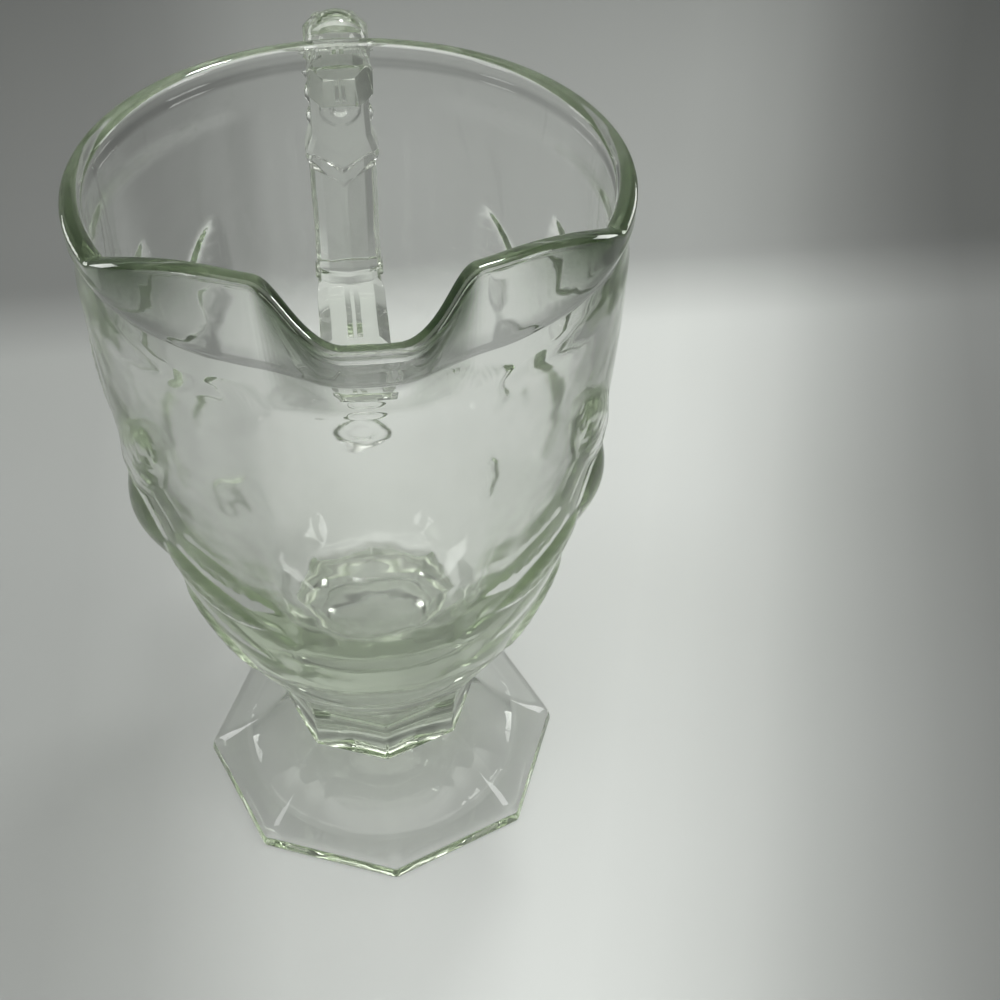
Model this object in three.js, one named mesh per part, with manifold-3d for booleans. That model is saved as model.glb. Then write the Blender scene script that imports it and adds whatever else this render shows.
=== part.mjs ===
// Footed creamer of clear pressed glass: an egg-shaped bowl with a pouring lip and fruit-and-leaf relief,
// a short octagonal stem, an octagonal foot with a hollow beneath, and an upright handle on two arms.
// Millimetres, +Z up. The lip points to -Y and the handle to +Y. The glass stands on z = 0.
import * as THREE from "three";
import { mergeVertices } from "three/addons/utils/BufferGeometryUtils.js";
import Module from "manifold-3d";

// Foot
const footAcross = 66.8; // across opposite corners, on the table
const footDraft = 0.4; // how much the upright edge leans in
const footEdge = 2; // height of the upright edge
const footHeight = 15; // top of the facets, where the stem starts
const footHollowRadius = 24;
const footHollowDepth = 8;
const facetSweep = 1.25; // 1 would make the facets flat, and more makes them hollow

// Stem
const stemHeight = 15;
const stemFootRadius = 18; // to its corners, where it meets the foot
const stemTopRadius = 19.5; // to its corners, under the bowl
const stemHollow = 0.8; // how far its sides curve in between its two ends

// Bowl
const bowlHeight = 97; // from its seat on the stem to the level rim at the back
const rimRadius = 40; // outside of the rim
const rimWall = 3;
const rimRound = 1.2; // rounding of the rim's two edges
const collarHeight = 4; // plain band under the level rim
const collarProud = 0.6; // how far the band stands out from the wall
const bowlSeatDrop = 10; // the bowl's curve would close this far below its seat
const floorThickness = 4; // glass between the seat and the inside floor
const bowlFullness = 2.3; // exponent of the egg curve: 2 is an ellipse, and more is fuller
const collarStep = 2; // height over which the band rises out of the wall

// Lip and shoulders
const shoulderRise = 8.2; // above the level rim
const shoulderStart = 62; // degrees from the lip, where the rim leaves its level
const shoulderFull = 26;
const lipDrop = 3.9; // below the shoulders
const lipReach = 7.6; // beyond the rim circle
const lipEdge = 21; // degrees from the lip, where its channel starts
const lipFull = 4;
const throatDepth = 16; // how far below the level rim the lip starts to flare

// Relief on both flanks. Angles are in degrees from the lip, and drops are below the level rim.
const reliefTopDrop = 18; // the wall's rows lie closer between these two levels
const reliefBottomDrop = 87;
const leafProud = 1.3;
const fruitProud = 2.6;
const leaves = [
  { angle: 62, drop: 35, length: 27, width: 14, lean: 35 },
  { angle: 88, drop: 30, length: 22, width: 13, lean: 0 },
  { angle: 113, drop: 32, length: 26, width: 14, lean: -25 },
  { angle: 138, drop: 35, length: 26, width: 13, lean: -20 },
  { angle: 48, drop: 57, length: 24, width: 13, lean: 110 },
  { angle: 58, drop: 75, length: 22, width: 12, lean: 140 },
  { angle: 132, drop: 61, length: 24, width: 13, lean: -115 },
  { angle: 116, drop: 77, length: 20, width: 11, lean: -150 },
];
const fruits = [
  { angle: 101, drop: 55, width: 19, height: 21 },
  { angle: 73, drop: 52, width: 18, height: 20 },
];

// Handle
const fingerGap = 13; // from the rim circle to the grip
const gripWidth = 12.4;
const gripDepth = 7.6;
const gripChamfer = 2.3;
const gripRidge = 0.7; // height of the low ridge along the middle of its two broad faces
const gripBottomDrop = 57; // top of the lower arm, below the level rim
const upperArmDrop = 2.6; // top of the upper arm, below the level rim
const upperArmThickness = 9;
const upperArmWidth = 12.4;
const lowerArmThickness = 10.5;
const lowerArmWidth = 13.4;
const lowerArmEdge = 0.6; // cut on its two lower edges, where the other edges have the grip's chamfer
const seatProud = 2; // how far the handle's seats stand out from the bowl
const cornerRound = 8; // outer corners of the handle, seen from the side
const knuckleLength = 17.4; // ornamental block at the top of the grip, down to its widest corners
const knuckleWidth = 13.6; // over those corners
const knuckleProud = 0.5;
const waistWidth = 10.6; // of the block's narrow part
const waistDrop = 9; // from the grip's top to where the block is that narrow
const waistRise = 4.3; // from the block's widest corners up to where it still is
const knucklePoint = 6.2; // height of the V that ends the block
const beadRadius = 2.2;
// Pairs of beads on the block's sides: how far below the grip's top, and how far out from the middle.
const beads = [
  { drop: 2.4, reach: 6.7 },
  { drop: 6.8, reach: 6.1 },
  { drop: 11, reach: 6.1 },
];
const bossRadius = 3.9; // round boss on the grip's inner face
const bossProud = 0.8;
const bossDrop = 7.2; // below the grip's top
const thumbRadius = 5.1; // thumb rest, a round knob on the upper arm
const thumbSink = 4.6; // how far the knob's middle lies below the level rim
const thumbReach = 7.5; // from the rim circle to the knob's middle
const tailBossRadius = 5.8; // round boss on the wall below the lower arm
const tailBossTaper = 0.8; // how much smaller its face is
const tailBossProud = 1.6;
const tailBossDrop = 72.8; // below the level rim

// Fineness of the curved surfaces
const bowlSides = 96;
const wallRows = 20;
const roundSides = 28;

// Heights that follow
const stemFootZ = footHeight;
const bowlSeatZ = stemFootZ + stemHeight;
const rimZ = bowlSeatZ + bowlHeight;
const collarZ = rimZ - collarHeight;
const throatZ = rimZ - throatDepth;
const upperArmTopZ = rimZ - upperArmDrop;
const gripTopZ = upperArmTopZ - upperArmThickness;
const gripBottomZ = rimZ - gripBottomDrop;
const lowerArmBottomZ = gripBottomZ - lowerArmThickness;
const gripInnerY = rimRadius + fingerGap;
const gripOuterY = gripInnerY + gripDepth;

const wasm = await Module();
wasm.setup();

/** A closed three.js geometry as a solid that can be joined and cut. */
function solidOf(geometry) {
  const bare = geometry.clone();
  bare.deleteAttribute("normal");
  bare.deleteAttribute("uv");
  const merged = mergeVertices(bare, 1e-4);
  return new wasm.Manifold(
    new wasm.Mesh({
      numProp: 3,
      vertProperties: new Float32Array(merged.attributes.position.array),
      triVerts: new Uint32Array(merged.index.array),
    }),
  );
}

/** A solid back as a three.js geometry. */
function geometryOf(solid) {
  const mesh = solid.getMesh();
  const geometry = new THREE.BufferGeometry();
  geometry.setAttribute("position", new THREE.BufferAttribute(mesh.vertProperties, 3));
  geometry.setIndex(new THREE.BufferAttribute(mesh.triVerts, 1));
  geometry.computeVertexNormals();
  return geometry;
}

/** Numbers from first to last, both included, in equal steps. */
function spread(first, last, steps) {
  return Array.from({ length: steps + 1 }, (_, i) => first + ((last - first) * i) / steps);
}

/** 0 before 0, 1 after 1, and a smooth S between. */
function smooth(t) {
  const x = Math.min(Math.max(t, 0), 1);
  return x * x * (3 - 2 * x);
}

/** A lathe about Z. Its first side faces the lip, at -Y. */
function lathe(points, sides) {
  return new THREE.LatheGeometry(points, sides).rotateX(Math.PI / 2);
}

/** An outline in Y and Z, extruded across X to the given width. */
function sideBlock(outline, width) {
  const block = new THREE.ExtrudeGeometry(outline, { depth: width, bevelEnabled: false });
  block.translate(0, 0, -width / 2);
  const turn = new THREE.Matrix4().makeBasis(
    new THREE.Vector3(0, 1, 0),
    new THREE.Vector3(0, 0, 1),
    new THREE.Vector3(1, 0, 0),
  );
  return block.applyMatrix4(turn);
}

/** A rectangle with its four corners cut at 45 degrees, the two lower ones by a cut of their own. */
function chamferedRectangle(x0, y0, x1, y1, cut, lowCut) {
  return new THREE.Shape([
    new THREE.Vector2(x0 + lowCut, y0),
    new THREE.Vector2(x1 - lowCut, y0),
    new THREE.Vector2(x1, y0 + lowCut),
    new THREE.Vector2(x1, y1 - cut),
    new THREE.Vector2(x1 - cut, y1),
    new THREE.Vector2(x0 + cut, y1),
    new THREE.Vector2(x0, y1 - cut),
    new THREE.Vector2(x0, y0 + lowCut),
  ]);
}

/** The grip's section: a chamfered rectangle whose two broad faces rise to a low ridge. */
function gripSection() {
  const half = gripWidth / 2;
  const flat = half - gripChamfer;
  return new THREE.Shape([
    new THREE.Vector2(0, gripInnerY),
    new THREE.Vector2(flat, gripInnerY + gripRidge),
    new THREE.Vector2(half, gripInnerY + gripChamfer),
    new THREE.Vector2(half, gripOuterY - gripChamfer),
    new THREE.Vector2(flat, gripOuterY - gripRidge),
    new THREE.Vector2(0, gripOuterY),
    new THREE.Vector2(-flat, gripOuterY - gripRidge),
    new THREE.Vector2(-half, gripOuterY - gripChamfer),
    new THREE.Vector2(-half, gripInnerY + gripChamfer),
    new THREE.Vector2(-flat, gripInnerY + gripRidge),
  ]);
}

/** A bar along Y whose chamfered section lies between two heights. */
function barAlongY(width, z0, z1, y0, y1, lowCut) {
  const section = chamferedRectangle(-width / 2, z0, width / 2, z1, gripChamfer, lowCut);
  const bar = new THREE.ExtrudeGeometry(section, { depth: y1 - y0, bevelEnabled: false });
  bar.rotateX(Math.PI / 2);
  bar.translate(0, y1, 0);
  return bar;
}

// Bowl

/** The egg curve: a superellipse that is widest at the level rim and would close at the lowest height. */
function eggRadius(z, widest, lowest) {
  const share = Math.min((rimZ - Math.min(z, rimZ)) / (rimZ - lowest), 1);
  return widest * (1 - share ** bowlFullness) ** (1 / bowlFullness);
}

function outsideRadius(z) {
  const body = eggRadius(z, rimRadius - collarProud, bowlSeatZ - bowlSeatDrop);
  return body + collarProud * smooth((z - collarZ) / collarStep + 0.5);
}

const floorZ = bowlSeatZ + floorThickness;

function insideRadius(z) {
  return eggRadius(z, rimRadius - rimWall, floorZ);
}

/** Height of the relief over the wall, at an angle from the lip and a height. */
function reliefAt(degrees, z) {
  const local = (motif) => {
    const middle = rimZ - motif.drop;
    const across = THREE.MathUtils.degToRad(degrees - motif.angle) * outsideRadius(middle);
    return [across, z - middle];
  };
  const leaf = (motif) => {
    const [across, up] = local(motif);
    const lean = THREE.MathUtils.degToRad(motif.lean);
    const along = (up * Math.cos(lean) - across * Math.sin(lean)) / (motif.length / 2);
    const aside = across * Math.cos(lean) + up * Math.sin(lean);
    const taper = Math.max(1 - along * along, 0) ** 0.9 * (1 - 0.25 * along);
    const side = aside / Math.max((taper * motif.width) / 2, 1e-6);
    return Math.abs(along) < 1 && Math.abs(side) < 1 ? leafProud * Math.sqrt(1 - side * side) : 0;
  };
  const fruit = (motif) => {
    const [across, up] = local(motif);
    const away = ((2 * across) / motif.width) ** 2 + ((2 * up) / motif.height) ** 2;
    return away < 1 ? fruitProud * Math.sqrt(1 - away) : 0;
  };
  return Math.max(...leaves.map(leaf), ...fruits.map(fruit));
}

/** How far the rim stands above its level, at an angle from the lip. */
function rimRise(degrees) {
  const shoulder = Math.min((shoulderStart - degrees) / (shoulderStart - shoulderFull), 1);
  const raised = shoulderRise * Math.sin((Math.PI / 2) * Math.max(shoulder, 0));
  return raised - lipDrop * lipShare(degrees);
}

/** 1 at the lip and 0 outside its channel. */
function lipShare(degrees) {
  return smooth((lipEdge - degrees) / (lipEdge - lipFull));
}

/** The bowl's wall: a lathe up the outside, over the rim and down the inside, with its lip and relief. */
function bowlWall() {
  const at = (radius, z) => new THREE.Vector2(radius, z);
  const reliefTop = rimZ - reliefTopDrop;
  const reliefBottom = rimZ - reliefBottomDrop;
  const edgeZ = rimZ - rimRound;
  const heights = [
    ...spread(bowlSeatZ, reliefBottom, 4),
    ...spread(reliefBottom, reliefTop, wallRows).slice(1),
    ...spread(reliefTop, collarZ - collarStep / 2, 4).slice(1),
    ...spread(collarZ + collarStep / 2, edgeZ, 2),
  ];
  const outside = heights.map((z) => at(outsideRadius(z), z));
  const bend = (middle, from, to) =>
    spread(from, to, 2).map((turn) => {
      const angle = THREE.MathUtils.degToRad(turn);
      return at(middle + rimRound * Math.cos(angle), edgeZ + rimRound * Math.sin(angle));
    });
  const rim = [
    ...bend(rimRadius - rimRound, 45, 90),
    ...bend(rimRadius - rimWall + rimRound, 90, 135),
  ];
  const depth = rimZ - floorZ;
  const inside = spread(0.06, 1, 10).map((share) => {
    const turn = (share * Math.PI) / 2;
    const z = rimZ - depth * Math.sin(turn) ** (2 / bowlFullness);
    return at(share === 1 ? 0 : insideRadius(z), z);
  });
  const points = [at(0, bowlSeatZ), ...outside, ...rim, at(rimRadius - rimWall, edgeZ), ...inside];
  const wall = lathe(points, bowlSides);
  const place = wall.attributes.position;
  for (let i = 0; i < place.count; i += 1) {
    const x = place.getX(i);
    const y = place.getY(i);
    const z = place.getZ(i);
    const radius = Math.hypot(x, y);
    const degrees = Math.abs(THREE.MathUtils.radToDeg(Math.atan2(x, -y)));
    const rise = rimRise(degrees);
    const lifted = z + rise * THREE.MathUtils.clamp((z - collarZ) / (edgeZ - collarZ), 0, 1);
    const flare = THREE.MathUtils.clamp((lifted - throatZ) / (edgeZ + rise - throatZ), 0, 1) ** 2;
    const onOutside = z < collarZ && radius > (outsideRadius(z) + insideRadius(z)) / 2;
    const relief = onOutside && z > bowlSeatZ ? reliefAt(degrees, z) : 0;
    const pushed = radius + lipReach * lipShare(degrees) * flare + relief;
    const scale = radius > 1e-6 ? pushed / radius : 1;
    place.setXYZ(i, x * scale, y * scale, lifted);
  }
  return wall;
}

/** A flat seat for the handle, from inside the wall out to its face. */
function handleSeat(width, z0, z1, face, lowCut) {
  const middle = (z) => (outsideRadius(z) + insideRadius(z)) / 2;
  const buried = spread(z1, z0, 4).map((z) => new THREE.Vector2(middle(z), z));
  const outline = new THREE.Shape([
    new THREE.Vector2(face, z0),
    new THREE.Vector2(face, z1),
    ...buried,
  ]);
  const rough = solidOf(sideBlock(outline, width));
  const bar = solidOf(barAlongY(width, z0, z1, 0, face, lowCut));
  return rough.intersect(bar);
}

/** The round boss on the wall below the lower arm, square to the wall and sunk into it by half its height. */
function tailBoss() {
  const z = rimZ - tailBossDrop;
  const slope = Math.atan(outsideRadius(z + 0.5) - outsideRadius(z - 0.5));
  const length = 2 * tailBossProud;
  const faceRadius = tailBossRadius - tailBossTaper;
  const boss = new THREE.CylinderGeometry(faceRadius, tailBossRadius, length, roundSides);
  boss.rotateX(-slope);
  boss.translate(0, outsideRadius(z), z);
  return solidOf(boss);
}

const upperSeatY = rimRadius + seatProud;
const lowerSeatY = outsideRadius(gripBottomZ) + seatProud;

const bowl = geometryOf(
  solidOf(bowlWall())
    .add(handleSeat(upperArmWidth, gripTopZ, upperArmTopZ, upperSeatY, gripChamfer))
    .add(handleSeat(lowerArmWidth, lowerArmBottomZ, gripBottomZ, lowerSeatY, lowerArmEdge))
    .add(tailBoss()),
);

// Stem and foot

/** An eight-sided lathe has its corners on the given radii, one of them towards the lip. */
function octagonal(points) {
  return lathe(
    points.map(([radius, z]) => new THREE.Vector2(radius, z)),
    8,
  );
}

const stemSide = spread(0, 1, 6).map((share) => [
  stemFootRadius + (stemTopRadius - stemFootRadius) * share - stemHollow * Math.sin(Math.PI * share),
  stemFootZ + stemHeight * share,
]);
const stem = octagonal([[0, stemFootZ], ...stemSide, [0, bowlSeatZ]]);

const footRadius = footAcross / 2;
const facets = spread(0, 1, 6).map((share) => [
  footRadius - footDraft - (footRadius - footDraft - stemFootRadius) * share,
  footEdge + (footHeight - footEdge) * share ** facetSweep,
]);
const footBody = octagonal([[0, 0], [footRadius, 0], ...facets, [0, footHeight]]);

/** The hollow under the foot: a cap of a sphere, carried a little below the table for a clean cut. */
function footHollow() {
  const sphere = (footHollowRadius ** 2 + footHollowDepth ** 2) / (2 * footHollowDepth);
  const middle = footHollowDepth - sphere;
  const edge = Math.asin(footHollowRadius / sphere);
  const cap = spread(edge, 0, 8).map(
    (turn) => new THREE.Vector2(turn ? sphere * Math.sin(turn) : 0, middle + sphere * Math.cos(turn)),
  );
  return lathe([new THREE.Vector2(0, -1), new THREE.Vector2(footHollowRadius, -1), ...cap], roundSides);
}

const foot = geometryOf(solidOf(footBody).subtract(solidOf(footHollow())));

// Handle

/** The handle's outline from the side, from the bowl's axis out, with its two outer corners rounded. */
function handleSide() {
  const middleY = gripOuterY - cornerRound;
  const lowZ = lowerArmBottomZ + cornerRound;
  const highZ = upperArmTopZ - cornerRound;
  const outline = new THREE.Shape();
  outline.moveTo(0, lowerArmBottomZ);
  outline.lineTo(middleY, lowerArmBottomZ);
  outline.absarc(middleY, lowZ, cornerRound, -Math.PI / 2, 0, false);
  outline.absarc(middleY, highZ, cornerRound, 0, Math.PI / 2, false);
  outline.lineTo(0, upperArmTopZ);
  return sideBlock(outline, 2 * Math.max(upperArmWidth, lowerArmWidth));
}

const side = solidOf(handleSide());

/** The thumb rest: a round knob that stands half out of the upper arm. */
function thumbRest() {
  const knob = new THREE.SphereGeometry(thumbRadius, roundSides, roundSides / 2);
  knob.translate(0, rimRadius + thumbReach, rimZ - thumbSink);
  return solidOf(knob);
}

const upperArm = geometryOf(
  solidOf(barAlongY(upperArmWidth, gripTopZ, upperArmTopZ, upperSeatY, gripOuterY, gripChamfer))
    .intersect(side)
    .add(thumbRest()),
);

const lowerArm = geometryOf(
  solidOf(
    barAlongY(lowerArmWidth, lowerArmBottomZ, gripBottomZ, lowerSeatY, gripOuterY, lowerArmEdge),
  ).intersect(side),
);

/** A pair of beads, one on each side of the ornamental block. */
function beadPair({ drop, reach }) {
  const bead = (flank) => {
    const ball = new THREE.SphereGeometry(beadRadius, 12, 8);
    ball.translate(flank * (reach - beadRadius), (gripInnerY + gripOuterY) / 2, gripTopZ - drop);
    return solidOf(ball);
  };
  return bead(-1).add(bead(1));
}

/** The ornamental block at the grip's top: a V at its lower end, beads on its sides and a boss within. */
function knuckle() {
  const depth = gripDepth + 2 * knuckleProud;
  const cornerZ = gripTopZ - knuckleLength;
  const oneSide = [
    [upperArmWidth / 2, gripTopZ],
    [waistWidth / 2, gripTopZ - waistDrop],
    [waistWidth / 2, cornerZ + waistRise],
    [knuckleWidth / 2, cornerZ],
  ];
  const shield = new THREE.Shape(
    [
      ...oneSide.map(([x, z]) => [-x, z]),
      [0, cornerZ - knucklePoint],
      ...oneSide.reverse(),
    ].map(([x, z]) => new THREE.Vector2(x, z)),
  );
  const block = new THREE.ExtrudeGeometry(shield, { depth, bevelEnabled: false });
  block.rotateX(Math.PI / 2);
  block.translate(0, gripOuterY + knuckleProud, 0);
  const boss = new THREE.CylinderGeometry(bossRadius, bossRadius, gripDepth, roundSides);
  boss.translate(0, gripInnerY - knuckleProud - bossProud + gripDepth / 2, gripTopZ - bossDrop);
  const plain = solidOf(block).add(solidOf(boss));
  return beads.map(beadPair).reduce((built, pair) => built.add(pair), plain);
}

const gripBar = new THREE.ExtrudeGeometry(gripSection(), {
  depth: gripTopZ - knuckleLength - gripBottomZ,
  bevelEnabled: false,
}).translate(0, 0, gripBottomZ);
const grip = geometryOf(solidOf(gripBar).add(knuckle()));

// Assembly

/** The clear glass with its faint green, as each piece's own material. */
function glass() {
  return new THREE.MeshStandardMaterial({
    color: 0xdfe8df,
    roughness: 0.06,
    metalness: 0,
    transparent: true,
    opacity: 0.35,
  });
}

const creamer = new THREE.Group();
creamer.name = "creamer";
const pieces = {
  foot,
  stem,
  bowl,
  handle_upper_arm: upperArm,
  handle_grip: grip,
  handle_lower_arm: lowerArm,
};
for (const [name, geometry] of Object.entries(pieces)) {
  const mesh = new THREE.Mesh(geometry, glass());
  mesh.name = name;
  creamer.add(mesh);
}

// The origin lies on the table, midway between the lip's tip and the back of the handle.
const handleBack = gripOuterY + knuckleProud;
creamer.position.y = (rimRadius + lipReach - handleBack) / 2;

export default creamer;
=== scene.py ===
# %% [markdown]
# # A footed creamer of clear pressed glass
#
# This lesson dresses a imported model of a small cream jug. The real jug is one moulding of clear glass: an
# egg-shaped bowl with a pouring lip, a short eight-sided stem, an eight-sided foot that is hollow beneath, and
# an upright handle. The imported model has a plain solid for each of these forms. Here each solid gets a finer
# surface in its place, worked out with numpy from the same sizes, and a material that behaves as glass does.
#
# Blender works in metres. The sizes below are in millimetres, because glassware is measured that way, and one
# function turns them into metres when a surface becomes a mesh.

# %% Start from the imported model
import math

import bmesh
import bpy
import numpy as np
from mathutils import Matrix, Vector


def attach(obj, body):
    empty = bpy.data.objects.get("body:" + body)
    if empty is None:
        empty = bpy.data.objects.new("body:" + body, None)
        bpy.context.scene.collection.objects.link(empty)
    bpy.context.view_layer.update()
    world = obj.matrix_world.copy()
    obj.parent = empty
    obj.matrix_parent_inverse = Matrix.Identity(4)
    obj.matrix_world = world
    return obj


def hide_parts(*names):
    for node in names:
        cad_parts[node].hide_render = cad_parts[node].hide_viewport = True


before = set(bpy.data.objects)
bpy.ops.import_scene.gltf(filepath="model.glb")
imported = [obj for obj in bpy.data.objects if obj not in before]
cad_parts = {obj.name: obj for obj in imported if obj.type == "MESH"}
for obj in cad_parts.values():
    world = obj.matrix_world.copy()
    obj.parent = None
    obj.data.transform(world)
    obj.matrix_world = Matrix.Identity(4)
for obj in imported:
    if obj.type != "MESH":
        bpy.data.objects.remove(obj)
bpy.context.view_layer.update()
print("nodes:", sorted(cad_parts))

# %% [markdown]
# ## The camera
#
# The photograph was taken from close by, looking down at the lip, so its perspective is strong: the rim looks
# far larger than the foot. A camera that is matched to the rim's circle and to the foot's corners gives that
# view. Its place, its three angles and its lens follow from that match.

# %% The camera
camera_mm = (-4.9, -190.5, 238.3)
camera_turn = (46.32, -1.04, -7.36)
lens_mm = 54.0
camera_data = bpy.data.cameras.new("camera")
camera_data.lens = lens_mm
camera_data.sensor_width = 36.0
camera_data.clip_start, camera_data.clip_end = 0.01, 20.0
camera = bpy.data.objects.new("camera", camera_data)
camera.location = [value / 1000 for value in camera_mm]
camera.rotation_euler = [math.radians(value) for value in camera_turn]
bpy.context.scene.collection.objects.link(camera)
bpy.context.scene.camera = camera
bpy.context.scene.view_settings.view_transform = "Standard"
glass_bounces = 48  # light is turned back many times inside thick glass before it leaves
paths = bpy.context.scene.cycles
paths.max_bounces = paths.glossy_bounces = glass_bounces
paths.transmission_bounces = paths.transparent_max_bounces = glass_bounces
print("camera at", [round(value, 3) for value in camera.location])

# %% [markdown]
# ## Sizes
#
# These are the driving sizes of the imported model, so that each finer surface lies where its solid lies. The
# bowl's axis is a little in front of the frame's origin, which is midway between the lip and the back of the
# handle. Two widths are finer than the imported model's: the top of the handle is a little narrower than the grip,
# and the lower arm spreads at its root on the bowl.

# %% Sizes in millimetres
axis_y = -6.75
foot_across, foot_draft, foot_edge, foot_height = 66.8, 0.4, 2.0, 15.0
hollow_radius, hollow_depth, facet_sweep = 24.0, 8.0, 1.25
stem_foot_radius, stem_top_radius, stem_hollow = 18.0, 19.5, 0.8
seat_z, rim_z = 30.0, 127.0
rim_radius, rim_wall, rim_round = 40.0, 3.0, 1.2
collar_height, collar_proud, collar_step = 4.0, 0.6, 2.0
seat_drop, floor_z, fullness = 10.0, 34.0, 2.3
shoulder_rise, shoulder_start, shoulder_full = 8.2, 62.0, 26.0
lip_drop, lip_reach, lip_edge, lip_full, throat_depth = 3.9, 7.6, 21.0, 4.0, 16.0
grip_inner, grip_outer, grip_top, grip_bottom = 53.0, 60.6, 115.4, 70.0
grip_width, grip_chamfer, grip_ridge = 12.4, 2.3, 0.7
arm_top, arm_bottom, corner_round = 124.4, 59.5, 8.0
upper_width, lower_width, root_width = 10.8, 13.4, 18.0
lower_edge = 0.6  # how far the lower arm's two lower edges are cut back
collar_z, edge_z = rim_z - collar_height, rim_z - rim_round
join_gap = 0.004  # from each join to the end of either piece, so that their faces are not in one plane
print("bowl from", seat_z, "to", rim_z, "mm, stem and foot below it down to the table")

# %% [markdown]
# ## From arrays to closed meshes
#
# Every piece here is a closed skin of rings. A ring is a loop of points, and rings that follow each other are
# joined by four-sided faces. The first and the last ring are closed by a fan to their middle, so no skin has a
# hole. The faces where one piece meets the next are flat fans. In the real jug the glass goes on there without
# a break, so those faces must not show, and they are marked further on.

# %% Skins of rings
same_point = 1e-7  # points closer than this, in metres, are one point


def metres(points):
    """Points in millimetres on the bowl's own axis, as metres in the frame."""
    return (np.asarray(points, float) + (0.0, axis_y, 0.0)) / 1000.0


def skin_arrays(rings):
    """Vertices and faces of a closed skin. rings has rows, columns and x, y, z. Face k of row r joins column k
    to column k + 1 of rows r and r + 1; both ends are fans round the mean of their ring."""
    rows, columns = rings.shape[:2]
    index = np.arange(rows * columns).reshape(rows, columns)
    right = np.roll(index, -1, axis=1)
    quads = np.stack([index[:-1], right[:-1], right[1:], index[1:]], -1).reshape(-1, 4)
    first, last = rows * columns, rows * columns + 1
    start = np.stack([right[0], index[0], np.full(columns, first)], -1)
    end = np.stack([index[-1], right[-1], np.full(columns, last)], -1)
    ends = np.stack([rings[0].mean(0), rings[-1].mean(0)])
    points = np.concatenate([rings.reshape(-1, 3), ends])
    return points, quads, np.concatenate([start, end])


def skin(name, rings):
    """A mesh object with a closed skin over the rings, with its faces turned outwards."""
    points, quads, fans = skin_arrays(rings)
    mesh = bpy.data.meshes.new(name)
    mesh.from_pydata(metres(points), [], quads.tolist() + fans.tolist())
    piece = bpy.data.objects.new(name, mesh)
    bpy.context.scene.collection.objects.link(piece)
    work = bmesh.new()
    work.from_mesh(mesh)
    bmesh.ops.remove_doubles(work, verts=work.verts, dist=same_point)
    bmesh.ops.dissolve_degenerate(work, edges=work.edges, dist=same_point)
    bmesh.ops.recalc_face_normals(work, faces=work.faces)
    if work.calc_volume(signed=True) < 0:
        bmesh.ops.reverse_faces(work, faces=work.faces)
    work.to_mesh(mesh)
    work.free()
    return piece


def joined(piece, others):
    """piece made one closed skin with the others, which are then removed."""
    for other in others:
        union = piece.modifiers.new("union", "BOOLEAN")
        union.operation, union.solver, union.object = "UNION", "EXACT", other
    bpy.context.view_layer.update()
    solid = bpy.data.meshes.new_from_object(piece.evaluated_get(bpy.context.evaluated_depsgraph_get()))
    piece.modifiers.clear()
    piece.data = solid
    for other in others:
        bpy.data.objects.remove(other)
    return piece


def smooth(share):
    """0 before 0, 1 after 1, and 3 t^2 - 2 t^3 between."""
    t = np.clip(share, 0.0, 1.0)
    return t * t * (3 - 2 * t)


def blend(a, b, share):
    """a where share is 0 and b where it is 1."""
    return a + (b - a) * share


# %% [markdown]
# ## The eight-sided section
#
# The stem and the foot are eight-sided, with a corner towards the lip. A pressed corner is never sharp: hot
# glass leaves it with a small radius, and that radius is what catches the light as a bright streak. So the
# section is an octagon with rounded corners. In polar form it is a straight side's distance over the cosine of
# the angle from that side's middle, and a circle's own polar form near each corner.

# %% Rounded octagon
sides, per_side = 8, 40
half_side = math.pi / sides


def octagon_angles():
    """Angles from the lip with steps that shrink towards the eight corners, where the section turns."""
    share = np.arange(per_side) / (per_side / 2) - 1
    crowded = np.sign(share) * half_side * (1 - (1 - np.abs(share)) ** 2.2)
    middles = (np.arange(sides) + 0.5) * 2 * half_side
    return (middles[:, None] + crowded[None, :]).reshape(-1)


def octagon_radius(angle, corner_radius, edge):
    """Distance to a rounded octagon. The apothem is corner_radius cos 22.5, edge is the corners' own radius."""
    apothem = corner_radius * math.cos(half_side)
    from_corner = np.abs((angle + half_side) % (2 * half_side) - half_side)
    centre = (apothem - edge) / math.cos(half_side)
    turn = np.arctan2(edge * math.sin(half_side), centre + edge * math.cos(half_side))
    flat = apothem / np.cos(half_side - from_corner)
    inside = np.maximum(edge**2 - (centre * np.sin(from_corner)) ** 2, 0)
    arc = centre * np.cos(from_corner) + np.sqrt(inside)
    return np.where(from_corner < turn, arc, flat)


def polar(angle, radius, z):
    """x, y, z of points at an angle from the lip, which is at -Y."""
    angle, radius, z = np.broadcast_arrays(angle, radius, z)
    return np.stack([radius * np.sin(angle), -radius * np.cos(angle), z], -1)


angles = octagon_angles()
print("columns:", len(angles), "smallest step:", round(float(np.degrees(np.diff(angles)).min()), 3), "degrees")

# %% [markdown]
# ## Stem
#
# The stem is a short octagonal block with slightly hollow sides. Its radius goes evenly from its foot's to its
# top's, less a hollow that follows half a sine wave to the power 0.7, which is fuller near both ends than the
# plain wave. Under the bowl it is almost as wide as the bowl itself, so that its eight-sided outline shows
# through the bowl's floor.

# %% Stem
stem_share = np.linspace(0, 1, 25)
hollow_wave = np.sin(np.pi * stem_share) ** 0.7
stem_rows = blend(stem_foot_radius, stem_top_radius, stem_share) - stem_hollow * hollow_wave
stem_z = blend(foot_height + join_gap, seat_z - join_gap, stem_share)
stem_corner = blend(0.9, 0.8, stem_share)
stem_rings = polar(
    angles[None, :],
    octagon_radius(angles[None, :], stem_rows[:, None], stem_corner[:, None]),
    stem_z[:, None],
)
stem = skin("stem", stem_rings)
print("stem:", len(stem.data.polygons), "faces")

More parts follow.
